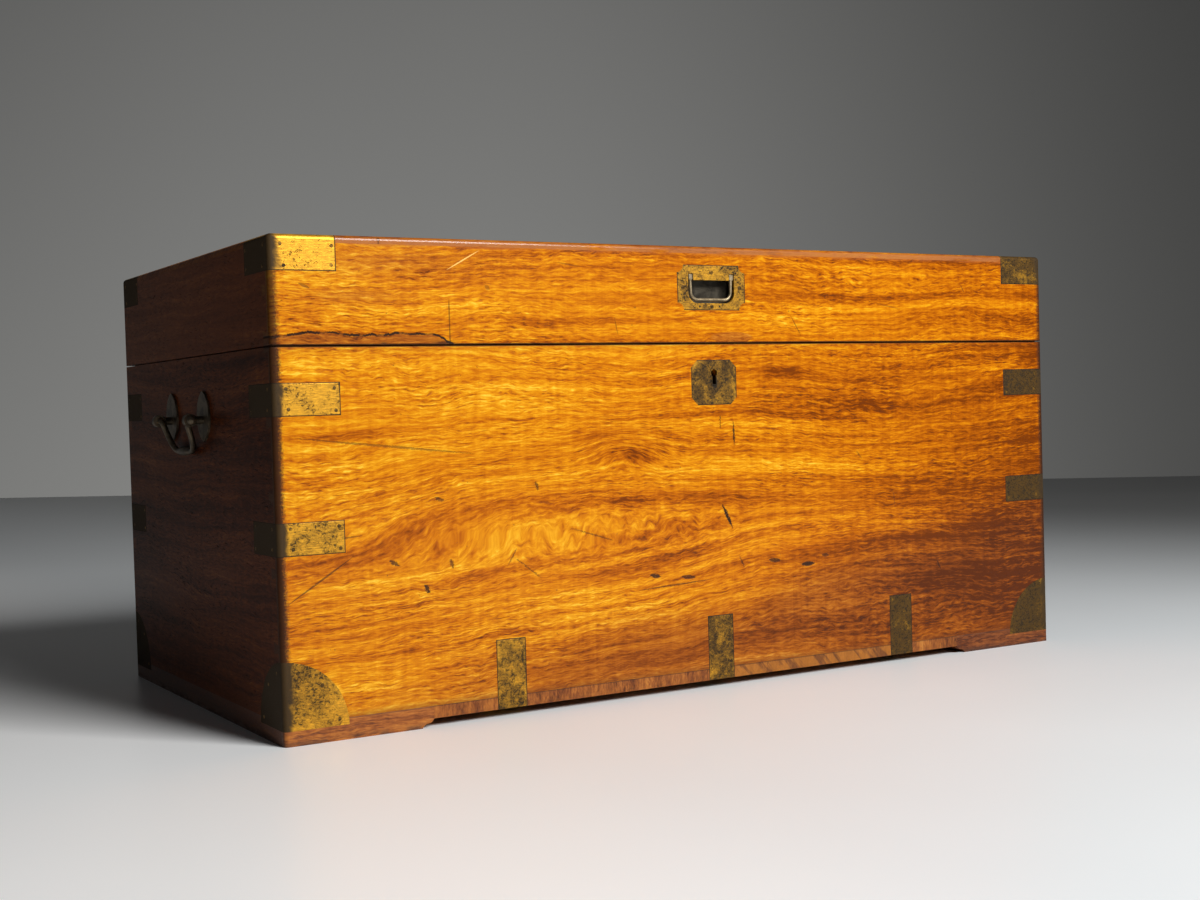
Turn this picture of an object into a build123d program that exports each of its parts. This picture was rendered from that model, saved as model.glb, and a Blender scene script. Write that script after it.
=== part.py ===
from build123d import *
import os
from math import asin, cos, degrees, pi, radians, sin, tan

# A camphor wood trunk: a dovetailed case on bracket feet, a deep hinged lid, let-in brass bands,
# a flush lifting handle on the lid, a hanging handle at each end and a lock with a link plate.
# X runs to the right along the front, Y runs back, Z is up, and the feet stand on Z = 0.
# Every left-hand piece is made once and mirrored to the right.

# Wood
length = 1040.0
depth = 546.0
height = 500.0
lid_height = 110.0
lid_gap = 1.5
board = 20.0
edge_radius = 5.0
lid_lip = 8.0
lid_board = 18.0

# Base
foot_height = 22.0
foot_length = 160.0
foot_depth = 60.0
foot_curl = 13.0
ledge_width = 40.0
bottom_board = 13.0

# Rim tongue, which keeps dust out under the closed lid
tongue_inset = 6.0
tongue_height = 8.0
tongue_clearance = 1.0
tongue_stop = 4.0

# Dovetails: lapped at the front, through at the back
lap = 8.0
case_tails = 5
lid_tails = 2
tail_slope = 6.0
pin_width = 8.0

# Brass bands, let in flush
sheet = 1.6
band_leg = 70.0
band_width = 33.0
upper_band_drop = 51.5
lower_band_z = 202.0
lid_band_width = 36.0
quadrant_radius = 68.0
quadrant_z = 15.0
strap_width = 35.0
strap_top_z = 82.0
strap_pitch = 269.0
strap_under = 60.0

# Butt hinges
hinge_x = 300.0
hinge_length = 76.0
knuckles = 5
knuckle_radius = 4.0
pin_radius = 2.0
pin_fit = 0.05
leaf = 2.2
leaf_width = 15.0
leaf_gap = 0.4
hinge_clearance = 0.3
knuckle_gap = 0.2
bevel_angle = 48.5
screw_spread = (-27.0, 0.0, 27.0)
screw_head_radius = 3.4
screw_head_depth = 1.9
screw_radius = 1.75
screw_length = 15.0
screw_sides = 8

# Lid flush handle
plate_width = 93.0
plate_height = 51.0
plate_drop = 46.5
plate_thickness = 3.6
plate_notch = 8.5
well_width = 63.0
well_rise = 8.5
well_fall = 17.5
well_radius = 12.0
slot_width = 7.0
pan_depth = 12.5
pan_wall = 1.3
bail_rise = 3.5
bail_bar_radius = 1.9
bail_lug_width = 5.5
bail_lug_height = 6.0
bail_gap = 2.1
bail_corner = 9.0
trunnion_radius = 1.0
trunnion_length = 3.0
lug_clearance = 0.35
plate_screw_radius = 2.6
plate_screw_length = 14.0

# Lock and its plates
escutcheon_width = 62.0
escutcheon_height = 51.0
escutcheon_drop = 43.5
escutcheon_corner = 8.5
key_drop = 33.0
key_hole_radius = 4.3
key_slot_width = 5.0
key_slot_drop = 12.5
key_rim = 1.4
key_rim_height = 0.6
key_passage = 0.8
lock_height = 62.5
lock_depth = 12.0
lock_plate = 2.0
lock_wall = 1.2
selvedge_reach = 6.0
selvedge = 2.5
drill_pin_radius = 1.6
bolt_thickness = 2.6
bolt_travel = 8.0
bolt_drop = 15.0
bolt_bar_height = 6.0
bolt_tail = 9.0
bolt_end_gap = 2.8
prong_rise = 10.4
prong_height = 3.4
prong_root = 4.0
stud_offset = 2.0
stud_radius = 2.0
stud_boss_radius = 4.0
slide_clearance = 0.2
spring_sheet = 0.8
spring_width = 3.0
spring_span = 20.0
staple_x = 20.0
staple_thickness = 3.0
staple_width = 7.6
staple_foot_gap = 0.4
staple_side = 1.4
staple_eye_height = 6.0
staple_slot_gap = 0.7
link_plate = 2.2
prong_clearance = 1.0

# End handles
handle_y = 7.0
handle_rim_drop = 69.0
handle_spread = 120.0
handle_reach = 17.0
boss_plate_width = 42.0
boss_plate_height = 55.0
boss_plate_rise = 4.0
boss_plate = 2.5
post_radius = 4.5
eye_radius = 7.0
eye_length = 9.0
handle_bar_radius = 3.3
handle_bar_sides = 12
handle_fit = 0.1
handle_drop = 36.0
handle_shoulder = 48.0
handle_foot = 40.0
handle_grip_radius = 5.0
handle_grip_length = 44.0
handle_grip_steps = 4
handle_neck_bend = 5.0
handle_heel_bend = 20.0
handle_rest_gap = 0.5
finial_radius = 5.2
finial_steps = 5
finial_gap = 0.4

# Places that follow from the sizes above
rim_z = height - lid_height
upper_band_z = rim_z - upper_band_drop
escutcheon_z = rim_z - escutcheon_drop
key_z = rim_z - key_drop
plate_z = height - plate_drop
well_top_z = plate_z + well_rise
well_bottom_z = plate_z - well_fall
bail_axis_z = well_top_z + bail_rise
bail_low = well_bottom_z + bail_gap + bail_bar_radius
handle_z = rim_z - handle_rim_drop
left = -length / 2
front = -depth / 2
back = depth / 2
inner_x = left + board
inner_front = front + board
inner_back = back - board
lid_low = rim_z + lid_gap
lip_z = height - lid_lip
tongue_top = rim_z + tongue_height
rebate_top = tongue_top + lid_gap
tongue_end = inner_back - tongue_stop
floor_low = foot_height - bottom_board
foot_inner = left + foot_length
hinge_y = back - knuckle_radius
hinge_z = rim_z + lid_gap / 2
lock_back = inner_front
lock_front = lock_back - lock_depth
selvedge_low = tongue_top - selvedge
bolt_y = lock_back - lock_plate - (lock_depth - lock_plate - lock_wall) / 2
bolt_back = bolt_y + bolt_thickness / 2
bolt_bar_z = rim_z - bolt_drop
bolt_top = bolt_bar_z + bolt_bar_height
bolt_tail_z = bolt_bar_z - bolt_tail
prong_z = bolt_bar_z + prong_rise
stud_z = bolt_bar_z - bolt_bar_height / 2
stud_x = staple_x + stud_offset
prong_tip = staple_thickness / 2 + prong_clearance
prong_heel = prong_tip + bolt_travel + prong_root
lock_half = staple_x + prong_heel + bolt_end_gap + lock_wall
bolt_right = lock_half - lock_wall - bolt_end_gap - bolt_travel
selvedge_half = lock_half + selvedge_reach
handle_x = left - handle_reach
handle_lean = degrees(asin((handle_reach - handle_grip_radius - handle_rest_gap) / handle_drop))
front_face = Plane(origin=(0, front, 0), x_dir=(1, 0, 0), z_dir=(0, -1, 0))


def block(x0, x1, y0, y1, z0, z1):
    """A box between two corners."""
    return Pos((x0 + x1) / 2, (y0 + y1) / 2, (z0 + z1) / 2) * Box(x1 - x0, y1 - y0, z1 - z0)


def rod(start, end, radius):
    """A round bar from one point to another."""
    axis = Vector(*end) - Vector(*start)
    return Plane(origin=start, z_dir=axis) * Cylinder(
        radius, axis.length, align=(Align.CENTER, Align.CENTER, Align.MIN)
    )


def turned(stations):
    """A flat-sided turning along Z, through pairs of height and radius."""
    rings = [Pos(0, 0, z) * RegularPolygon(radius, handle_bar_sides).face()
             for z, radius in stations]
    return loft(rings, ruled=True)


def countersunk(head_radius, long):
    """A screw down Z from its flush head, with few sides as there are many of them."""
    neck = Pos(0, 0, -screw_head_depth) * RegularPolygon(screw_radius, screw_sides)
    head = loft([RegularPolygon(head_radius, screw_sides).face(), neck.face()], ruled=True)
    return head + extrude(neck, amount=screw_head_depth - long)


def on_front(sketch, sunk, thickness):
    """A sketch drawn in X and Z, standing as a plate whose face lies sunk below the front."""
    return Pos(0, sunk, 0) * extrude(front_face * sketch, amount=-thickness)


def on_side(sketch, x, thickness):
    """A sketch drawn in Y and Z, standing across the trunk from x rightwards."""
    return Pos(x, 0, 0) * extrude(Plane.YZ * sketch, amount=thickness, dir=(1, 0, 0))


def to_right(shape):
    """The right-hand twin of a left-hand piece."""
    return mirror(shape, about=Plane.YZ)


def to_back(shape):
    """The rear twin of a front piece."""
    return mirror(shape, about=Plane.XZ)


def carcase(inset, z0, z1):
    """The upright envelope of the trunk, drawn in by inset, with its vertical edges rounded."""
    body = block(left + inset, -left - inset, front + inset, back - inset, z0, z1)
    return fillet(body.edges().filter_by(Axis.Z), edge_radius - inset)


def lid_envelope(inset):
    """The envelope of the lid, drawn in by inset, with its top edges rounded too."""
    body = carcase(inset, lid_low - inset, height - inset)
    return fillet(body.faces().sort_by(Axis.Z)[-1].edges(), edge_radius - inset)


def tails(shoulder, tip, z0, z1, count):
    """Dovetails of a left-hand board: they widen from the shoulder to the tip."""
    pitch = (z1 - z0) / count
    tip_half = (pitch - pin_width) / 2
    root_half = tip_half - abs(tip - shoulder) / tail_slope
    shapes = []
    for i in range(count):
        z = z0 + pitch * (i + 0.5)
        outline = Polygon(
            (shoulder, z - root_half),
            (tip, z - tip_half),
            (tip, z + tip_half),
            (shoulder, z + root_half),
            align=None,
        )
        shapes.append(on_side(outline, left, board))
    return shapes


def end_board(z0, z1, tail_z0, count):
    """A left-hand board with lapped tails in front and through tails behind."""
    body = block(left, inner_x, inner_front, inner_back, z0, z1)
    front_tails = tails(inner_front, front + lap, tail_z0[0], tail_z0[1], count)
    back_tails = tails(inner_back, back, tail_z0[0], tail_z0[1], count)
    return body + front_tails + back_tails


def seam_bevel():
    """The wedge planed off the rear edges of the rim and the lid.

    Both slope away from the hinge axis, so the lid comes to rest on them just past upright.
    """
    run = 4 * knuckle_radius
    rise = run * tan(radians(bevel_angle))
    outline = Polygon(
        (hinge_y, hinge_z),
        (hinge_y + run, hinge_z - rise),
        (hinge_y + run, hinge_z + rise),
        align=None,
    )
    return on_side(outline, 2 * left, -4 * left)


def hinge_bed(side):
    """The leaf recesses and the clearance round the knuckles in the rim (-1) or lid (1)."""
    cuts = []
    for x in (-hinge_x, hinge_x):
        half = hinge_length / 2
        face = hinge_z + side * leaf_gap / 2
        deep = face + side * leaf
        low, high = sorted((deep, hinge_z))
        cuts.append(block(x - half, x + half, hinge_y - leaf_width, hinge_y, low, high))
        reach = half + hinge_clearance
        cuts.append(
            rod((x - reach, hinge_y, hinge_z), (x + reach, hinge_y, hinge_z),
                knuckle_radius + hinge_clearance)
        )
    return cuts


def hinge_leaf(x, side):
    """One leaf of a butt hinge with its share of the knuckles, for the rim (-1) or lid (1)."""
    half = hinge_length / 2
    face = hinge_z + side * leaf_gap / 2
    low, high = sorted((face, face + side * leaf))
    clear_y = hinge_y - knuckle_radius - hinge_clearance
    body = block(x - half, x + half, hinge_y - leaf_width, clear_y, low, high)
    step = hinge_length / knuckles
    first = 0 if side < 0 else 1
    for i in range(first, knuckles, 2):
        trim = 0 if side < 0 else knuckle_gap / 2
        x0 = x - half + i * step + trim
        x1 = x - half + (i + 1) * step - trim
        if side < 0:
            x0 += knuckle_gap / 2 if i > 0 else 0
            x1 -= knuckle_gap / 2 if i < knuckles - 1 else 0
        body += block(x0, x1, clear_y, hinge_y, low, high)
        body += rod((x0, hinge_y, hinge_z), (x1, hinge_y, hinge_z), knuckle_radius)
    bore = pin_radius if side < 0 else pin_radius + pin_fit
    body -= rod((x - half, hinge_y, hinge_z), (x + half, hinge_y, hinge_z), bore)
    for screw in leaf_screws(x, side):
        body -= screw
    return body


def leaf_screws(x, side):
    """The countersunk screws of one hinge leaf, heads flush with the leaf."""
    face = hinge_z + side * leaf_gap / 2
    screws = []
    for offset in screw_spread:
        screw = countersunk(screw_head_radius, screw_length)
        if side > 0:
            screw = mirror(screw, about=Plane.XY)
        screws.append(Pos(x + offset, hinge_y - 2 * leaf_width / 3, face) * screw)
    return screws


def band(z_mid, width):
    """A left front corner band of the case: a strip bent round the corner."""
    skin = carcase(0, z_mid - width / 2, z_mid + width / 2)
    skin -= carcase(sheet, z_mid - width / 2, z_mid + width / 2)
    return skin & block(left, left + band_leg, front, front + band_leg, 0, height)


def quadrant():
    """The left front bottom corner: a quarter round on the front and on the end."""
    skin = carcase(0, quadrant_z, quadrant_z + quadrant_radius)
    skin -= carcase(sheet, quadrant_z, quadrant_z + quadrant_radius)
    return skin & Pos(left, front, quadrant_z) * Sphere(quadrant_radius)


def lid_corner():
    """The left front lid corner: it covers the front, the end and an angle of the top."""
    skin = lid_envelope(0) - lid_envelope(sheet)
    low = height - lid_band_width
    along = block(left, left + band_leg, front, front + lid_band_width, low, height)
    across = block(left, left + lid_band_width, front, front + band_leg, low, height)
    return skin & (along + across)


def bottom_strap(x):
    """A strap down the lower front that turns under the bottom boards."""
    half = strap_width / 2
    upright = block(x - half, x + half, front, front + sheet, floor_low, strap_top_z)
    under = block(x - half, x + half, front, front + strap_under, floor_low, floor_low + sheet)
    return upright + under


def foot():
    """The left front foot: its inner end curls up, and its ledge carries the end floor board."""
    curl_x = foot_inner - foot_curl
    half_x = (curl_x + foot_inner) / 2
    outline = Polyline((foot_inner, floor_low), (foot_inner, foot_height), (left, foot_height),
                       (left, 0), (curl_x, 0))
    hollow = ThreePointArc((curl_x, 0), (curl_x + foot_curl / 6, floor_low / 3),
                           (half_x, floor_low / 2))
    swell = ThreePointArc((half_x, floor_low / 2), (foot_inner - foot_curl / 6, 2 * floor_low / 3),
                          (foot_inner, floor_low))
    face = make_face(front_face * (outline + hollow + swell))
    body = extrude(face, amount=foot_depth, dir=(0, 1, 0))
    body -= block(inner_x, foot_inner, inner_front, front + foot_depth, floor_low, foot_height)
    return body & carcase(0, 0, foot_height)


def runner():
    """The left runner between the feet, rebated for the end floor board."""
    y0, y1 = front + foot_depth, back - foot_depth
    body = block(left, inner_x + ledge_width, y0, y1, 0, foot_height)
    return body - block(inner_x, inner_x + ledge_width, y0, y1, floor_low, foot_height)


def keyhole(radius, width, drop):
    """The keyhole outline: a round with a slot below it."""
    return Pos(0, key_z) * Circle(radius) + Pos(0, key_z - drop / 2) * Rectangle(width, drop)


def escutcheon():
    """The clipped plate round the keyhole, with a raised lip at the hole."""
    outline = Pos(0, escutcheon_z) * Rectangle(escutcheon_width, escutcheon_height)
    outline = chamfer(outline.vertices(), escutcheon_corner)
    hole = keyhole(key_hole_radius, key_slot_width, key_slot_drop)
    lip = keyhole(key_hole_radius + key_rim, key_slot_width + 2 * key_rim, key_slot_drop + key_rim)
    plate = on_front(outline, 0, sheet) + on_front(lip, -key_rim_height, key_rim_height)
    return plate - on_front(hole, -key_rim_height, sheet + key_rim_height)


def lock_body():
    """The back plate with the selvedge over the rim, the drill pin and the two bolt studs."""
    half = selvedge_half
    low = tongue_top - lock_height
    body = block(-half, half, lock_back - lock_plate, lock_back, low, tongue_top)
    body += block(-half, half, front + tongue_inset, lock_back, selvedge_low, tongue_top)
    slot_x = staple_thickness / 2 + staple_slot_gap
    slot_y = staple_width / 2 + staple_slot_gap
    for x in (-staple_x, staple_x):
        body -= block(x - slot_x, x + slot_x, bolt_y - slot_y, bolt_y + slot_y, selvedge_low,
                      tongue_top)
    plate_y = lock_back - lock_plate
    body += rod((0, plate_y, key_z), (0, lock_front, key_z), drill_pin_radius)
    for x in (-stud_x, stud_x):
        body += rod((x, plate_y, stud_z), (x, bolt_back + slide_clearance, stud_z),
                    stud_boss_radius)
        body += rod((x, plate_y, stud_z), (x, bolt_y - bolt_thickness / 2, stud_z), stud_radius)
    return body


def lock_case():
    """The shallow box that covers the works on the side of the keyhole."""
    half = lock_half
    low = tongue_top - lock_height + lock_wall
    rear = lock_back - lock_plate
    body = block(-half, half, lock_front, rear, low, selvedge_low)
    body -= block(-half + lock_wall, half - lock_wall, lock_front + lock_wall, rear,
                  low + lock_wall, selvedge_low)
    hole = keyhole(key_hole_radius, key_slot_width, key_slot_drop)
    return body - on_front(hole, lock_front - front - lock_wall, 3 * lock_wall)


def lock_bolt():
    """The sliding bolt: a slotted bar, two prongs for the staples and a talon for the key."""
    y0, y1 = bolt_y - bolt_thickness / 2, bolt_y + bolt_thickness / 2
    body = block(-staple_x - prong_heel, bolt_right, y0, y1, bolt_tail_z, bolt_top)
    for x in (-staple_x, staple_x):
        tip, heel = x - prong_tip, x - prong_heel
        body += block(heel, heel + prong_root, y0, y1, bolt_top, prong_z + prong_height)
        body += block(heel, tip, y0, y1, prong_z, prong_z + prong_height)
    slot_height = 2 * (stud_radius + slide_clearance)
    for x in (-stud_x, stud_x):
        slot = Pos(x - bolt_travel / 2, stud_z) * SlotOverall(bolt_travel + slot_height,
                                                              slot_height)
        body -= on_front(slot, y0 - front, bolt_thickness)
    talon = Pos(-bolt_travel / 2, bolt_tail_z) * Rectangle(bolt_travel, bolt_bar_height)
    return body - on_front(talon, y0 - front, bolt_thickness)


def bolt_spring():
    """A bowed leaf on top of the bolt that presses against the selvedge."""
    foot_z = bolt_top
    crown_z = selvedge_low - slide_clearance
    half = spring_span / 2
    staple_face = -staple_x + staple_thickness / 2
    middle = (staple_face + staple_x - prong_heel) / 2
    outer = ThreePointArc((middle - half, foot_z), (middle, crown_z), (middle + half, foot_z))
    inner = ThreePointArc((middle + half - spring_sheet, foot_z), (middle, crown_z - spring_sheet),
                          (middle - half + spring_sheet, foot_z))
    ends = [Line(outer @ 1, inner @ 0), Line(inner @ 1, outer @ 0)]
    face = make_face(front_face * (Curve() + [outer, inner] + ends))
    leaf_strip = extrude(face, amount=spring_width, dir=(0, 1, 0))
    return Pos(0, bolt_y - spring_width / 2 - front, 0) * leaf_strip


def link():
    """The plate let in under the lid that carries the staples."""
    return block(-selvedge_half, selvedge_half, front + tongue_inset, lock_back, rebate_top,
                 rebate_top + link_plate)


def link_staples():
    """The two staples that drop from the link plate into the lock, each with an eye."""
    staples = []
    low = bolt_top + staple_foot_gap
    eye_mid = prong_z + prong_height / 2
    y0, y1 = bolt_y - staple_width / 2, bolt_y + staple_width / 2
    for x in (-staple_x, staple_x):
        x0, x1 = x - staple_thickness / 2, x + staple_thickness / 2
        eye = block(x0, x1, y0 + staple_side, y1 - staple_side,
                    eye_mid - staple_eye_height / 2, eye_mid + staple_eye_height / 2)
        staples.append(block(x0, x1, y0, y1, low, rebate_top) - eye)
    return staples


def lock_recess():
    """What is cut from the front board for the lock, its selvedge and the key."""
    low = tongue_top - lock_height
    half, wide = lock_half, selvedge_half
    cut = block(-half, half, lock_front, lock_back, low, tongue_top)
    cut += block(-wide, wide, lock_back - lock_plate, lock_back, low, tongue_top)
    cut += block(-wide, wide, front + tongue_inset, lock_back, selvedge_low, tongue_top)
    cut += block(-half, half, front + tongue_inset, lock_back, rim_z, tongue_top)
    passage = keyhole(key_hole_radius + key_passage, key_slot_width + 2 * key_passage,
                      key_slot_drop + key_passage)
    return cut + on_front(passage, 0, board)


def well_outline(offset):
    """The hole of the flush handle, grown by offset: round lower corners and a square top."""
    width = well_width + 2 * offset
    low, high = well_bottom_z - offset, well_top_z + offset
    outline = Pos(0, (low + high) / 2) * Rectangle(width, high - low)
    return fillet(outline.vertices().sort_by(Axis.Y)[:2], well_radius + offset)


def lug_slots(offset):
    """The two square notches above the hole that hold the lugs of the bail."""
    top = bail_axis_z + bail_lug_height / 2 + 2 * lug_clearance + offset
    height_now = top - well_top_z
    lug_x = (well_width - slot_width) / 2
    slots = Sketch()
    for x in (-lug_x, lug_x):
        slots += Pos(x, well_top_z + height_now / 2) * Rectangle(slot_width + 2 * offset,
                                                                 height_now)
    return slots


def handle_plate_outline():
    """The flush plate with its hollow corners."""
    half_w, half_h = plate_width / 2, plate_height / 2
    outline = Pos(0, plate_z) * Rectangle(plate_width, plate_height)
    for x in (-half_w, half_w):
        for z in (-half_h, half_h):
            outline -= Pos(x, plate_z + z) * Circle(plate_notch)
    return outline


def plate_screw_places():
    """Where the four screws of the flush plate stand, in X and Z."""
    side_x = (plate_width + well_width) / 4
    top_z = (bail_axis_z + plate_z + plate_height / 2) / 2 - plate_screw_radius / 2
    low_z = (well_bottom_z + plate_z - plate_height / 2) / 2
    return [(-side_x, plate_z), (side_x, plate_z), (0, top_z), (0, low_z)]


def plate_screws():
    """The four screws of the flush plate."""
    screw = countersunk(plate_screw_radius, plate_screw_length)
    return [Plane(origin=(x, front, z), z_dir=(0, -1, 0)) * screw
            for x, z in plate_screw_places()]


def handle_plate():
    """The cast plate of the lid handle, pierced for the bail and its trunnions."""
    body = on_front(handle_plate_outline() - well_outline(0) - lug_slots(0), 0, plate_thickness)
    reach = well_width / 2 + trunnion_length + trunnion_radius / 4
    axis_y = front + bail_bar_radius
    body -= rod((-reach, axis_y, bail_axis_z), (reach, axis_y, bail_axis_z),
                trunnion_radius + pin_fit)
    for screw in plate_screws():
        body -= screw
    return body


def handle_pan():
    """The pressed pan behind the plate, open to the front."""
    outer = well_outline(pan_wall) + lug_slots(pan_wall)
    inner = well_outline(0) + lug_slots(0)
    cup = on_front(outer, plate_thickness, pan_depth)
    return cup - on_front(inner, plate_thickness, pan_depth - pan_wall)


def handle_bail():
    """The drop bail of the lid handle: a round bar with square lugs and trunnions."""
    lug_x = (well_width - slot_width) / 2
    axis_y = front + bail_bar_radius
    knee_x = lug_x - bail_bar_radius / 2
    path = FilletPolyline(
        (-lug_x, axis_y, bail_axis_z),
        (-knee_x, axis_y, bail_low),
        (knee_x, axis_y, bail_low),
        (lug_x, axis_y, bail_axis_z),
        radius=bail_corner,
    )
    section = RegularPolygon(bail_bar_radius, handle_bar_sides)
    body = sweep(Plane(origin=path @ 0, z_dir=path % 0) * section, path=path)
    for side in (-1, 1):
        x = side * lug_x
        half = bail_lug_width / 2
        body += block(x - half, x + half, axis_y - bail_bar_radius, axis_y + bail_bar_radius,
                      bail_axis_z - bail_lug_height / 2, bail_axis_z + bail_lug_height / 2)
        body += rod((x, axis_y, bail_axis_z),
                    (side * (well_width / 2 + trunnion_length), axis_y, bail_axis_z),
                    trunnion_radius)
    return body


def end_handle_plates():
    """The two pointed oval plates of the left end handle, each with a post and an eye."""
    plates = []
    for side in (-1, 1):
        y = handle_y + side * handle_spread / 2
        middle = handle_z + boss_plate_rise
        tip, low = (y, middle + boss_plate_height / 2), (y, middle - boss_plate_height / 2)
        near = ThreePointArc(tip, (y - boss_plate_width / 2, middle), low)
        far = ThreePointArc(low, (y + boss_plate_width / 2, middle), tip)
        plate = on_side(make_face(near + far), left - boss_plate, boss_plate)
        post = rod((left, y, handle_z), (handle_x, y, handle_z), post_radius)
        eye = rod((handle_x, y - eye_length / 2, handle_z), (handle_x, y + eye_length / 2, handle_z),
                  eye_radius)
        bore = rod((handle_x, y - eye_length / 2, handle_z),
                   (handle_x, y + eye_length / 2, handle_z), handle_bar_radius + handle_fit)
        plates.append(plate + post + eye - bore)
    return plates


def end_handle_bail():
    """The swan-necked bail of the left end, which leans in until its grip almost meets the board."""
    end = handle_spread / 2 + eye_length / 2 + finial_gap
    path = FilletPolyline(
        (0, -end, 0),
        (0, -handle_shoulder, 0),
        (0, -handle_foot, -handle_drop),
        (0, handle_foot, -handle_drop),
        (0, handle_shoulder, 0),
        (0, end, 0),
        radius=[handle_neck_bend, handle_heel_bend, handle_heel_bend, handle_neck_bend],
    )
    section = RegularPolygon(handle_bar_radius, handle_bar_sides)
    body = sweep(Plane(origin=path @ 0, z_dir=path % 0) * section, path=path)
    half = handle_grip_length / 2
    swell = handle_grip_radius - handle_bar_radius
    grip = turned([(half * t, handle_bar_radius + swell * (1 - t**2))
                   for t in (2 * i / handle_grip_steps - 1 for i in range(handle_grip_steps + 1))])
    body += Plane(origin=(0, 0, -handle_drop), z_dir=(0, 1, 0)) * grip
    neck = asin(handle_bar_radius / finial_radius)
    turns = [neck + (pi - 2 * neck) * i / finial_steps for i in range(finial_steps + 1)]
    ball = turned([(-finial_radius * cos(t), finial_radius * sin(t)) for t in turns])
    for side in (-1, 1):
        y = side * (end + finial_radius * cos(neck))
        body += Plane(origin=(0, y, 0), z_dir=(0, 1, 0)) * ball
    return Pos(handle_x, handle_y, handle_z) * Rot(0, -handle_lean, 0) * body


def save(shape, name):
    """Write one sub-part, a single solid or a group of separate ones."""
    if isinstance(shape, list):
        shape = Compound(children=[Part() + one for one in shape])
    export_step(shape, f"parts/{name}.step")


def corners(shape):
    """The four corner twins of a left front piece, with their names."""
    return {
        "front_left": shape,
        "front_right": to_right(shape),
        "back_left": to_back(shape),
        "back_right": to_back(to_right(shape)),
    }


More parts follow.
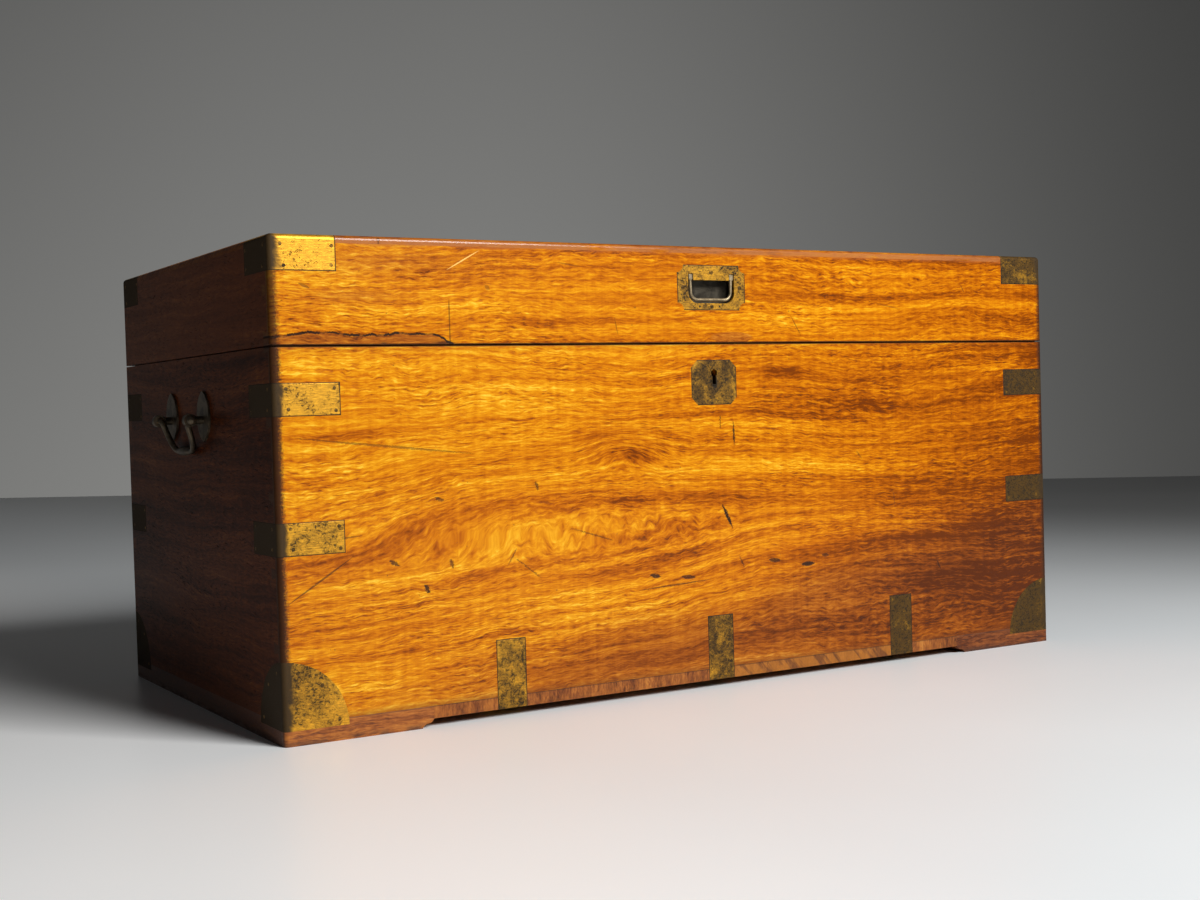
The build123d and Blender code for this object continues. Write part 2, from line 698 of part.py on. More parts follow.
def main():
    os.makedirs("parts", exist_ok=True)

    # Brass that is let into the wood of the case
    upper = corners(band(upper_band_z, band_width))
    lower = corners(band(lower_band_z, band_width))
    quadrants = corners(quadrant())
    straps = {
        "left": bottom_strap(-strap_pitch),
        "middle": bottom_strap(0),
        "right": bottom_strap(strap_pitch),
    }
    plate = escutcheon()
    case_brass = [*upper.values(), *lower.values(), *quadrants.values(), *straps.values(), plate]

    # Case boards
    case_zone = (foot_height, rim_z)
    end = end_board(foot_height, tongue_top, case_zone, case_tails)
    ends = end + to_right(end)
    long_front = block(left, -left, front, inner_front, foot_height, tongue_top) - ends
    long_back = block(left, -left, inner_back, back, foot_height, rim_z) - ends
    outside = block(2 * left, -2 * left, 2 * front, 2 * back, rim_z, height)
    tongue = block(left + tongue_inset, -left - tongue_inset, front + tongue_inset, tongue_end,
                   rim_z, height)
    rim_cuts = [outside - tongue, seam_bevel(), *hinge_bed(-1)]
    envelope = carcase(0, foot_height, tongue_top)
    case_screws = leaf_screws(-hinge_x, -1) + leaf_screws(hinge_x, -1)
    save((long_front & envelope) - rim_cuts - case_brass - lock_recess(), "front_board")
    save((long_back & envelope) - rim_cuts - case_brass - case_screws, "back_board")
    left_end = (end & envelope) - rim_cuts - case_brass
    save(left_end, "left_board")
    save(to_right(left_end), "right_board")

    # Base
    for name, shape in corners(foot() - case_brass).items():
        save(shape, f"{name}_foot")
    skid = runner() - case_brass
    save(skid, "left_runner")
    save(to_right(skid), "right_runner")
    middle = block(foot_inner, 0, front, back, floor_low, foot_height)
    outer = block(inner_x, foot_inner, inner_front, inner_back, floor_low, foot_height)
    save(middle - case_brass, "bottom_board_left")
    save(to_right(middle) - case_brass, "bottom_board_right")
    save(outer, "bottom_end_board_left")
    save(to_right(outer), "bottom_end_board_right")

    # Lid
    lid_corners = corners(lid_corner())
    lid_end = end_board(lid_low, lip_z, (rebate_top, lip_z), lid_tails)
    lid_ends = lid_end + to_right(lid_end)
    lid_front = block(left, -left, front, inner_front, lid_low, lip_z) - lid_ends
    lid_back = block(left, -left, inner_back, back, lid_low, lip_z) - lid_ends
    slack = tongue_inset - tongue_clearance
    rebate = block(left + slack, -left - slack, front + slack, tongue_end + tongue_clearance,
                   rim_z, rebate_top)
    lid_cuts = [rebate, seam_bevel(), *hinge_bed(1), *lid_corners.values()]
    lid_screws = leaf_screws(-hinge_x, 1) + leaf_screws(hinge_x, 1)
    lid_shape = lid_envelope(0)
    handle_cuts = [
        on_front(handle_plate_outline(), 0, plate_thickness),
        on_front(well_outline(pan_wall) + lug_slots(pan_wall), 0, plate_thickness + pan_depth),
        *plate_screws(),
        link(),
    ]
    save((lid_front & lid_shape) - lid_cuts - handle_cuts, "lid_front_rail")
    save((lid_back & lid_shape) - lid_cuts - lid_screws, "lid_back_rail")
    left_rail = (lid_end & lid_shape) - lid_cuts
    save(left_rail, "lid_left_rail")
    save(to_right(left_rail), "lid_right_rail")
    top = block(left, -left, front, back, lip_z, height)
    top += block(inner_x, -inner_x, inner_front, inner_back, height - lid_board, lip_z)
    save((top & lid_shape) - [*lid_corners.values()], "lid_top")

    # Let-in brass
    for name in upper:
        save(upper[name], f"{name}_upper_band")
        save(lower[name], f"{name}_lower_band")
        save(quadrants[name], f"{name}_bottom_corner")
        save(lid_corners[name], f"{name}_lid_corner")
    for name, shape in straps.items():
        save(shape, f"{name}_bottom_strap")
    save(plate, "escutcheon")

    # Hinges
    for name, x in (("left", -hinge_x), ("right", hinge_x)):
        save(hinge_leaf(x, -1), f"{name}_hinge_case_leaf")
        save(hinge_leaf(x, 1), f"{name}_hinge_lid_leaf")
    half = hinge_length / 2
    pins = [rod((x - half, hinge_y, hinge_z), (x + half, hinge_y, hinge_z), pin_radius)
            for x in (-hinge_x, hinge_x)]
    save(pins, "hinge_pins")
    save(case_screws, "hinge_case_screws")
    save(lid_screws, "hinge_lid_screws")

    # Lock
    save(lock_body(), "lock_plate")
    save(lock_case(), "lock_case")
    save(lock_bolt(), "lock_bolt")
    save(bolt_spring(), "lock_spring")
    save(link(), "link_plate")
    save(link_staples(), "link_staples")

    # Handles
    save(handle_plate(), "lid_handle_plate")
    save(handle_pan(), "lid_handle_pan")
    save(handle_bail(), "lid_handle_bail")
    save(plate_screws(), "lid_handle_screws")
    plates = end_handle_plates()
    save(plates, "left_handle_plates")
    save([to_right(one) for one in plates], "right_handle_plates")
    bail = end_handle_bail()
    save(bail, "left_handle_bail")
    save(to_right(bail), "right_handle_bail")


main()
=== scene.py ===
import bmesh
import bpy
import numpy as np
from math import asin, cos, radians, sin
from mathutils import Matrix, Vector


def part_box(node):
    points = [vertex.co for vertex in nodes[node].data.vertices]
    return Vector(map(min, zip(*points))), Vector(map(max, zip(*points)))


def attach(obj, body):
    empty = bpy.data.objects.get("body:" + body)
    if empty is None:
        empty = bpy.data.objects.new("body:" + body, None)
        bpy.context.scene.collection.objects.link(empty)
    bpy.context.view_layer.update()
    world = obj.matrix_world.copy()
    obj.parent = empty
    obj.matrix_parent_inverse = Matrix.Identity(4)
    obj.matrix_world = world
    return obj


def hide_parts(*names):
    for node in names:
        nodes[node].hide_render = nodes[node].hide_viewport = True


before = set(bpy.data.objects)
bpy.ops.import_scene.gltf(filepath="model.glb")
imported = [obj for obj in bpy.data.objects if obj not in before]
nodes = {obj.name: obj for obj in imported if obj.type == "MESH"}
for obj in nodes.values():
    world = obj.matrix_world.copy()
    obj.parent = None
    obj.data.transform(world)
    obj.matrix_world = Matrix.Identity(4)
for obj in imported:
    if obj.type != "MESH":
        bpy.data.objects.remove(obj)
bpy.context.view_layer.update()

# Feet and runners
# Four bracket feet with a curled inner end, and a runner between them at each end. They are
# a redder, plainer wood than the case, stained and polished, scuffed dark along the floor.


class Wire:
    """A value that varies over a surface. Arithmetic on it adds Math nodes to its finish."""

    def __init__(self, finish, socket):
        self.finish = finish
        self.socket = socket

    def math(self, operation, *others):
        node = self.finish.add("Math", {"operation": operation}, dict(enumerate([self, *others])))
        return Wire(self.finish, node.outputs[0])

    def __add__(self, other):
        return self.math("ADD", other)

    def __sub__(self, other):
        return self.math("SUBTRACT", other)

    def __mul__(self, other):
        return self.math("MULTIPLY", other)

    def __truediv__(self, other):
        return self.math("DIVIDE", other)

    def __rsub__(self, other):
        return (self * -1.0).math("ADD", other)

    def __abs__(self):
        return self.math("ABSOLUTE")

    __radd__ = __add__
    __rmul__ = __mul__

    def least(self, other):
        return self.math("MINIMUM", other)

    def most(self, other):
        return self.math("MAXIMUM", other)

    def step(self, low, high):
        """Rises smoothly from 0 at low to 1 at high, or falls if high is below low."""
        node = self.finish.add("MapRange", {"interpolation_type": "SMOOTHSTEP"},
                               {"Value": self, "From Min": low, "From Max": high})
        return Wire(self.finish, node.outputs[0])


class Finish:
    """A procedural material that reads the trunk's own coordinates in metres."""

    def __init__(self, name):
        self.material = bpy.data.materials.new(name)
        self.material.use_nodes = True
        self.tree = self.material.node_tree
        self.shader = self.tree.nodes["Principled BSDF"]
        place = Wire(self, self.add("TexCoord").outputs["Object"])
        parted = self.add("SeparateXYZ", inputs={0: place})
        self.x, self.y, self.z = [Wire(self, socket) for socket in parted.outputs]

    def add(self, kind, settings={}, inputs={}):
        """A node of any kind: its settings first, then its sockets' values or links."""
        node = self.tree.nodes.new("ShaderNode" + kind)
        for name, value in settings.items():
            if name == "stops":
                ramp = node.color_ramp
                for place, _ in value[1:-1]:
                    ramp.elements.new(place)
                for element, (place, colour) in zip(ramp.elements, value):
                    element.position = place
                    element.color = colour
            else:
                setattr(node, name, value)
        for name, value in inputs.items():
            if isinstance(value, Wire):
                self.tree.links.new(value.socket, node.inputs[name])
            else:
                node.inputs[name].default_value = value
        return node

    def noise(self, x, y, z, detail=3.0, roughness=0.5, distortion=0.0):
        """Clouds of cell size 1 in the three given coordinates, from 0 to 1 about 0.5."""
        point = Wire(self, self.add("CombineXYZ", inputs={0: x, 1: y, 2: z}).outputs[0])
        node = self.add("TexNoise", inputs={"Vector": point, "Scale": 1.0, "Detail": detail,
                                            "Roughness": roughness, "Distortion": distortion})
        return Wire(self, node.outputs[0])

    def mix(self, factor, first, second):
        """The first colour turning into the second as the factor goes from 0 to 1."""
        node = self.add("Mix", {"data_type": "RGBA"}, {0: factor, 6: first, 7: second})
        return Wire(self, node.outputs[2])

    def ramp(self, factor, stops):
        """A colour from a scale of stops, each a place from 0 to 1 and a colour."""
        return Wire(self, self.add("ValToRGB", {"stops": stops}, {0: factor}).outputs[0])

    def surface(self, colour, roughness, height, relief, metallic=0.0, **constants):
        """Joins colour, roughness and a bump of the given relief in metres to the shader."""
        bump = self.add("Bump", inputs={"Height": height, "Distance": relief, "Strength": 1.0})
        wires = {"Base Color": colour, "Roughness": roughness, "Metallic": metallic,
                 "Normal": Wire(self, bump.outputs[0])}
        for name, value in (wires | constants).items():
            if isinstance(value, Wire):
                self.tree.links.new(value.socket, self.shader.inputs[name])
            else:
                self.shader.inputs[name].default_value = value
        return self.material


def dress(material, *names):
    """Gives CAD pieces their finish."""
    for name in names:
        mesh = nodes[name].data
        mesh.materials.clear()
        mesh.materials.append(material)


def rgb(red, green, blue):
    return (red, green, blue, 1.0)


def grain(finish, along, flow, through):
    """The figure of polished wood as a tone from 0, dark, to 1, pale, with its pores and height.

    The grain runs along the first coordinate. Flow is the coordinate across it, bent into the
    figure, so bands and streaks stretched along the grain follow its curves. Short strokes
    ride on a small wave, so they lie at changing slants as in interlocked grain.
    """
    wave = (finish.noise(along * 48.0, flow * 90.0, through * 60.0, 2.0, 0.6) - 0.5) * 0.008
    band = finish.noise(along * 2.6, flow * 105.0, through * 9.0, 5.0, 0.68, 0.25)
    broad = finish.noise(along * 2.2 + 5.0, flow * 19.0, through * 5.0, 3.0, 0.55, 0.5)
    strokes = finish.noise(along * 75.0, (flow + wave) * 520.0, through * 160.0, 3.0, 0.62)
    upright = finish.noise(along * 130.0, flow * 9.0, through * 30.0, 3.0, 0.6, 0.4)
    patch = finish.noise(along * 9.0, flow * 26.0, through * 20.0, 2.0)
    tone = (0.47 + (band - 0.5) * 1.4 + (broad - 0.5) * 0.85 + (upright - 0.5) * 0.30
            + (strokes - 0.5) * (0.3 + patch * 2.2))
    pores = strokes.step(0.40, 0.30) * patch.step(0.40, 0.62)
    height = strokes * 0.6 + band * 0.3 - pores * 0.6
    return tone, pores, height


def end_grain_and_shade(finish, colour):
    """The colour darkened on the faces at both ends of the trunk: painted shade to match the end
    boards, and open pores where end grain shows.
    """
    return finish.mix(abs(finish.x).step(*end_face) * 0.8, colour, end_grain_and_shade_brown)


def red_wood():
    """The stained wood of the feet and runners, scuffed towards the floor and darker to the right,
    partly as painted shade.
    """
    finish = Finish("red_wood")
    x, y, z = finish.x, finish.y, finish.z
    flow = z + (finish.noise(x * 3.0, z * 8.0, y * 3.0) - 0.5) * 0.03
    tone, pores, height = grain(finish, x, flow, y)
    # Darker to the right: partly painted shade, as on the front, and partly the wood's own tone.
    colour = finish.ramp(tone - x.step(0.1, 0.4) * 0.36, red_tones)
    colour = end_grain_and_shade(finish, colour)
    scuff = z.step(0.008, 0.0) * finish.noise(x * 60.0, y * 60.0, z * 200.0).step(0.4, 0.6)
    edge = abs(z - foot_top).step(0.0012, 0.0) * 0.6
    darkening = (scuff * 0.7).most(edge).most(pores * 0.4)
    colour = finish.mix(darkening, colour, rgb(0.06, 0.03, 0.02))
    return finish.surface(colour, 0.36 + scuff * 0.25 + pores * 0.15, height, 0.0004,
                          **{"Coat Weight": 0.15, "Coat Roughness": 0.2,
                             "Specular IOR Level": 0.15})


# A pair of places is where an effect starts and where it is full, in metres from the origin.
end_face = (0.518, 0.5197)
foot_top = 0.0212
# Painted shade on the end faces, and the darker open end grain.
end_grain_and_shade_brown = rgb(0.045, 0.010, 0.003)
red_tones = [(0.0, rgb(0.08, 0.020, 0.007)), (0.35, rgb(0.22, 0.062, 0.014)),
             (0.55, rgb(0.33, 0.105, 0.020)), (0.75, rgb(0.42, 0.145, 0.026)),
             (1.0, rgb(0.52, 0.21, 0.04))]
corners = ["front_left", "front_right", "back_left", "back_right"]
dress(red_wood(), *[corner + "_foot" for corner in corners], "left_runner", "right_runner")

# Bottom boards
# Camphor boards laid from front to back under the case, so their end grain shows below the
# front as a strip with irregular dark bars.

board_front = -0.268
bar_start, bar_stop = (0.0, 0.02), (0.262, 0.250)
bottom_seam = (0.0205, 0.0218)


def bottom_wood():
    """Camphor with its grain running from front to back, and barred end grain."""
    finish = Finish("bottom_camphor")
    x, y, z = finish.x, finish.y, finish.z
    flow = x + (finish.noise(y * 2.0, x * 6.0, z * 4.0) - 0.5) * 0.03
    tone, pores, height = grain(finish, y, flow, z)
    colour = finish.ramp(tone - 0.05, red_tones)
    bars = finish.noise(x * 75.0 + z * 60.0, z * 18.0, 0.0, 3.0, 0.6).step(0.47, 0.60)
    shown = (y - board_front).step(0.0, -0.003)
    fine = finish.noise(x * 300.0, z * 300.0, 0.0, 3.0, 0.7)
    dark = (bars * 0.8 + fine * 0.4 - 0.1).most(0.0).least(1.0)
    cut = finish.mix(dark, rgb(0.40, 0.145, 0.018), rgb(0.10, 0.038, 0.014))
    barred = x.step(*bar_start) * x.step(*bar_stop)
    colour = finish.mix(shown * (0.15 + barred * 0.55), colour, cut)
    colour = end_grain_and_shade(finish, colour)
    seam = z.step(*bottom_seam) * 0.7
    colour = finish.mix(seam.most(pores * 0.4), colour, rgb(0.03, 0.015, 0.008))
    return finish.surface(colour, 0.46 + pores * 0.1, height, 0.0004,
                          **{"Coat Weight": 0.1, "Coat Roughness": 0.25,
                             "Specular IOR Level": 0.15})


dress(bottom_wood(), "bottom_board_left", "bottom_board_right", "bottom_end_board_left",
      "bottom_end_board_right")

# Case boards
# Wide single boards of camphor, dovetailed at the corners and French polished to a deep amber,
# bare inside. The front has an eye in its figure, flame grain above it, and old dents.

amber_tones = [(0.0, rgb(0.16, 0.032, 0.001)), (0.25, rgb(0.35, 0.080, 0.001)),
               (0.46, rgb(0.52, 0.150, 0.0015)), (0.66, rgb(0.64, 0.238, 0.003)),
               (0.84, rgb(0.74, 0.350, 0.010)), (1.0, rgb(0.86, 0.52, 0.045))]
russet_tones = [(0.0, rgb(0.08, 0.018, 0.004)), (0.3, rgb(0.20, 0.046, 0.005)),
                (0.5, rgb(0.30, 0.078, 0.007)), (0.72, rgb(0.41, 0.125, 0.011)),
                (1.0, rgb(0.56, 0.23, 0.03))]
# Painted shade: near-black tones for the end boards and the lid's end rails, which are the same
# amber camphor as the front.
painted_shade_tones = [(0.0, rgb(0.020, 0.004, 0.001)), (0.3, rgb(0.045, 0.009, 0.001)),
              (0.5, rgb(0.072, 0.015, 0.002)), (0.72, rgb(0.11, 0.026, 0.003)),
              (1.0, rgb(0.18, 0.055, 0.008))]
bare_tones = [(0.0, rgb(0.16, 0.075, 0.028)), (0.4, rgb(0.36, 0.19, 0.08)),
              (0.65, rgb(0.47, 0.27, 0.125)), (1.0, rgb(0.60, 0.38, 0.20))]
# Near-black and brown darkening: dents, pores, grime and wear, and also painted shade at the
# upright edges, the seams and the keyhole.
grime_and_shade_black = rgb(0.030, 0.014, 0.008)
grime_and_shade_brown = rgb(0.14, 0.038, 0.010)
inside_x, inside_y = (0.5012, 0.5004), (0.2542, 0.2534)
inside_top, inside_floor = (0.4825, 0.4818), (0.0212, 0.0216)
dull_ends, worn_and_shaded_edge = (0.518, 0.512), (0.509, 0.516)
upright_x, upright_y = (0.512, 0.519), (0.265, 0.272)
case_rim, case_seam_shadow = (0.380, 0.3905), (0.3886, 0.3898)


def hill(x, z, place, size):
    """A smooth bump of height 1 at a place, fading over its size in both directions."""
    across = (x - place[0]) / size[0]
    up = (z - place[1]) / size[1]
    return (across * across + up * up).math("MULTIPLY", -1.0).math("EXPONENT")


def stroke(x, z, start, end, width, depth):
    """A spindle-shaped mark from start to end, as deep as depth, with ends that taper off."""
    run, rise = end[0] - start[0], end[1] - start[1]
    length = (run * run + rise * rise) ** 0.5
    far = ((x - start[0]) * run + (z - start[1]) * rise) / (length * length / 2) - 1.0
    off = ((x - start[0]) * rise - (z - start[1]) * run) / length
    reach = ((1.0 - far * far) * width).most(width * 0.02)
    return (abs(off) / reach).step(1.0, 0.45) * abs(far).step(1.0, 0.9) * depth


def polish(finish, colour, tone, pores, height, marks, shine):
    """French polish outside, and bare pale camphor on what faces into the trunk."""
    x, y, z = finish.x, finish.y, finish.z
    inside = (abs(x).step(*inside_x) * abs(y).step(*inside_y) * z.step(*inside_top)
              * z.step(*inside_floor))
    colour = finish.mix(inside, colour, finish.ramp(tone, bare_tones))
    gloss = (1.0 - inside) * abs(x).step(*dull_ends)
    roughness = 0.40 + inside * 0.2 - tone * 0.06 + pores * 0.15 + marks * 0.2
    return finish.surface(colour, roughness, height, 0.0004,
                          **{"Coat Weight": gloss * shine, "Coat Roughness": 0.16,
                             "Specular IOR Level": 0.05})


def worn_and_shaded_ends(finish, cloud):
    """A fine ragged noise, and the darkening by the upright edges, frayed by it and by a cloud:
    wear and dirt, and painted shade on the rounded edges.
    """
    ragged = finish.noise(finish.x * 420.0, finish.z * 420.0, 0.0, 3.0, 0.7)
    reach = abs(finish.x) + (ragged - 0.5) * 0.010 + (cloud - 0.5) * 0.006
    return ragged, reach.step(*worn_and_shaded_edge)


# Shades are (place, size, depth), and marks are (start, end, width, depth), in x and z.
front_shades = [
    ((-0.105, 0.268), (0.040, 0.011), 0.35),
    ((-0.165, 0.292), (0.035, 0.009), 0.22),
    ((0.101, 0.357), (0.036, 0.008), 0.42),
    ((-0.122, 0.212), (0.026, 0.010), 0.25),
    ((-0.30, 0.150), (0.07, 0.010), 0.20),
    ((0.30, 0.155), (0.16, 0.012), 0.25),
    ((0.22, 0.315), (0.09, 0.010), 0.25),
    ((0.499, 0.367), (0.02, 0.012), 0.30),
    ((-0.44, 0.300), (0.05, 0.005), 0.30),
    ((-0.06, 0.158), (0.05, 0.008), 0.22)]
front_marks = [
    ((0.006, 0.209), (0.021, 0.179), 0.0022, 0.9),
    ((0.025, 0.302), (0.026, 0.272), 0.0011, 0.8),
    ((0.007, 0.309), (0.007, 0.292), 0.0008, 0.6),
    ((0.028, 0.149), (0.036, 0.133), 0.0010, 0.6),
    ((-0.366, 0.147), (-0.360, 0.137), 0.0026, 0.8),
    ((-0.094, 0.135), (-0.079, 0.132), 0.0026, 0.8),
    ((-0.052, 0.130), (-0.032, 0.128), 0.0024, 0.7),
    ((0.070, 0.140), (0.088, 0.138), 0.0026, 0.75),
    ((0.117, 0.131), (0.138, 0.131), 0.0030, 0.85),
    ((0.148, 0.140), (0.160, 0.139), 0.0022, 0.6),
    ((-0.234, 0.246), (-0.231, 0.236), 0.0020, 0.6),
    ((-0.352, 0.235), (-0.341, 0.231), 0.0020, 0.6),
    ((-0.336, 0.171), (-0.333, 0.160), 0.0022, 0.6),
    ((-0.404, 0.174), (-0.392, 0.167), 0.0022, 0.7),
    ((-0.262, 0.167), (-0.230, 0.142), 0.0008, 0.5),
    ((-0.190, 0.192), (-0.138, 0.176), 0.0008, 0.5),
    ((-0.270, 0.158), (-0.258, 0.177), 0.0008, 0.5),
    ((-0.110, 0.119), (-0.010, 0.124), 0.0009, 0.6),
    ((-0.503, 0.301), (-0.300, 0.277), 0.0012, 0.45),
    ((-0.515, 0.136), (-0.440, 0.182), 0.0010, 0.6),
    ((-0.500, 0.196), (-0.430, 0.201), 0.0012, 0.5),
    ((0.262, 0.209), (0.264, 0.190), 0.0009, 0.4),
    ((0.330, 0.120), (0.336, 0.108), 0.0014, 0.6),
    ((0.205, 0.262), (0.214, 0.250), 0.0010, 0.4)]


def front_wood():
    """The front board: streaks bend round an eye and a knot, and redden towards the foot. It is
    lighter to the left as painted sheen and darker to the right as painted shade, over the wood's
    own tone.
    """
    finish = Finish("front_camphor")
    x, y, z = finish.x, finish.y, finish.z
    eye = ((z - 0.187) / 0.031).math("TANH") * hill(x, z, (-0.19, 0.187), (0.23, 0.085))
    knot = hill(x, z, (-0.125, 0.275), (0.045, 0.020))
    arch = hill(x, z, (0.17, 0.12), (0.32, 0.10))
    dip = hill(x, z, (-0.52, 0.15), (0.17, 0.09))
    sway = (finish.noise(x * 2.6, z * 4.0, 1.3, 2.0) - 0.5) * 0.05
    ripple = (finish.noise(x * 13.0, z * 26.0, 4.1, 2.0) - 0.5) * 0.010
    flow = z - eye * 0.036 - knot * 0.020 - arch * 0.026 + dip * 0.034 + sway + ripple
    tone, pores, height = grain(finish, x, flow, y)
    cloud = finish.noise(x * 3.0, z * 6.0, 7.7, 3.0, 0.55)
    right = (x + (cloud - 0.5) * 0.4).step(0.0, 0.6)
    low = (z - 0.098 - x * 0.20 + (cloud - 0.5) * 0.14).step(0.045, -0.045)
    shades = 0.0
    for place, size, depth in front_shades:
        shades = hill(x, z, place, size) * depth + shades
    pale = (hill(x, z, (-0.20, 0.187), (0.13, 0.03)) * 0.06
            + hill(x, z, (-0.10, 0.245), (0.10, 0.012)) * 0.10)
    # Painted shade, partly the wood's own tone: darker to the right, most of all low on the right.
    darker = right * (0.26 + z.step(0.31, 0.17) * 0.22)
    # The lift towards the left is painted sheen.
    tone = tone + pale - shades - darker + x.step(0.0, -0.4) * 0.09
    colour = finish.mix(low * 0.9, finish.ramp(tone, amber_tones),
                        finish.ramp(tone + 0.06, russet_tones))
    ragged, worn_and_shaded = worn_and_shaded_ends(finish, cloud)
    edges = (z.step(*case_rim) * 0.2 + z.step(0.030, 0.022) * 0.5).most(worn_and_shaded * 0.9)
    colour = finish.mix(edges, colour, grime_and_shade_brown)
    # The upright edges go near black: wear and dirt, and painted shade on the rounded corners.
    colour = finish.mix(worn_and_shaded * 0.85, colour, grime_and_shade_black)
    marks = 0.0
    bent_x = x + (ragged - 0.5) * 0.007
    bent_z = z + (cloud + ragged * 0.8 - 0.9) * 0.004
    for start, end, width, depth in front_marks:
        marks = stroke(bent_x, bent_z, start, end, width * 1.25, depth) + marks
    specks = finish.noise(x * 190.0, z * 260.0, 3.0, 2.0, 0.6).step(0.70, 0.76) * 0.5
    # Painted shadow: the top edge of the case, where the lid closes on it, is darkened as the gap's
    # shadow line.
    seam = z.step(*case_seam_shadow) * 0.9
    # Painted shade in the keyhole cut.
    keyhole_shade = hill(x, z, (0.0, 0.347), (0.006, 0.011)).step(0.2, 0.5)
    marks = marks * ragged.step(0.22, 0.45) * 1.15
    marks = marks.most(specks).most(seam).most(keyhole_shade).least(1.0)
    colour = finish.mix(marks.most(pores * 0.30), colour, grime_and_shade_black)
    return polish(finish, colour, tone, pores, height - marks * 1.5, marks, 0.16)


def plain_wood(name, across_depth, seed, tones):
    """Camphor boards whose grain runs along X, or along Y for the ends of the case."""
    finish = Finish(name)
    x, y, z = finish.x, finish.y, finish.z
    along, through = (y, x) if across_depth else (x, y)
    sway = (finish.noise(along * 2.4 + seed, z * 5.0, through, 2.0) - 0.5) * 0.06
    ripple = (finish.noise(along * 11.0 + seed, z * 24.0, through, 2.0) - 0.5) * 0.009
    flow = z + sway + ripple + seed
    tone, pores, height = grain(finish, along, flow, through)
    colour = finish.ramp(tone, tones)
    if not across_depth:
        colour = end_grain_and_shade(finish, colour)
    # The upright corners darken: grime, and painted shade on the rounded edges.
    ends = (abs(x).step(*upright_x) * abs(y).step(*upright_y)) * 0.7
    edges = (z.step(*case_rim) * 0.3 + z.step(0.04, 0.022) * 0.4).most(ends)
    colour = finish.mix(edges, colour, grime_and_shade_brown)
    fine = finish.noise(along * 170.0, z * 200.0, through * 170.0, 2.0, 0.6)
    specks = fine.step(0.69, 0.76) * 0.5
    colour = finish.mix(specks.most(pores * 0.35), colour, grime_and_shade_black)
    return polish(finish, colour, tone, pores, height - specks, specks, 0.05)


dress(front_wood(), "front_board")
# The end boards take the tones of painted shade.
dress(plain_wood("end_camphor", True, 3.7, painted_shade_tones), "left_board", "right_board")
dress(plain_wood("back_camphor", False, 9.1, russet_tones), "back_board")

# Bands, corners and straps
# Sheet brass let in flush and pinned near the corners, the pins filed down. Tarnish has turned
# the plates olive, with pits and a black outline. The left front plates are kept brighter, partly
# less tarnished and partly as painted reflection of the lamp. Near the upright corners and on
# the end faces, wear and painted shade darken them.

pale_brass = rgb(0.84, 0.42, 0.030)
old_brass = rgb(0.47, 0.225, 0.020)
olive = rgb(0.088, 0.046, 0.010)
black_brown = rgb(0.018, 0.012, 0.006)
turned_edge, plate_end = (0.779, 0.787), (0.5185, 0.5197)


def brass(name, patina_and_glare, edges=(), spots_at=(), worn_and_shaded_corner=False):
    """Tarnished sheet brass. Edges are (axis, place) planes where grime has gathered. Corner plates
    darken near the upright corner and on their end faces, by wear and by painted shade.
    """
    finish = Finish(name)
    x, y, z = finish.x, finish.y, finish.z
    cloud = finish.noise(x * 42.0, y * 42.0, z * 42.0, 4.0, 0.65, 0.8)
    spots = finish.noise(x * 260.0, y * 260.0, z * 330.0, 4.0, 0.7, 1.2)
    brushed = finish.noise(x * 110.0, y * 110.0, z * 800.0, 3.0, 0.6)
    dulling = (cloud + (spots - 0.5) * 0.7 + (patina_and_glare - 0.5) * 0.9).step(0.28, 0.84)
    pits = (spots + (cloud - 0.5) * 0.35 + (patina_and_glare - 0.5) * 0.10).step(0.565, 0.64)
    rim = 0.0
    for axis, place in edges:
        rim = abs({"x": x, "y": y, "z": z}[axis] - place).step(0.0014, 0.0004) + rim
    for place, size in spots_at:
        rim = hill(x, z, place, size).step(0.3, 0.7) + rim
    darkening = (pits * 0.8 + rim).least(1.0)
    # Near the upright corner the plate turns dark as it turns away from the light: wear and painted
    # shade. The end face is painted shade.
    if worn_and_shaded_corner:
        turned = (abs(x) + abs(y) + (cloud - 0.5) * 0.018).step(*turned_edge)
        on_end = abs(x).step(*plate_end)
        dulling = dulling.most(turned).most(on_end)
        darkening = darkening.most(turned * 0.6).most(on_end * 0.75)
    colour = finish.mix(dulling, finish.mix(brushed.step(0.3, 0.7), old_brass, pale_brass), olive)
    colour = finish.mix(darkening, colour, black_brown)
    roughness = 0.36 + dulling * 0.14 + darkening * 0.25 + brushed * 0.08
    height = spots * 0.4 - darkening + brushed * 0.25 + cloud * 0.5
    return finish.surface(colour, roughness, height, 0.0003, metallic=0.6 - darkening * 0.5 - dulling * 0.25,
                          **{"Specular IOR Level": 0.2})


def far_edges(name, axes="xyz"):
    """The box planes of a brass piece that lie away from the trunk's own corner."""
    low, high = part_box(name)
    planes = []
    for i, axis in enumerate("xyz"):
        if axis in axes:
            if abs(low[i]) < abs(high[i]) or axis == "z":
                planes.append((axis, low[i]))
            if abs(high[i]) < abs(low[i]) or axis == "z":
                planes.append((axis, high[i]))
    return planes


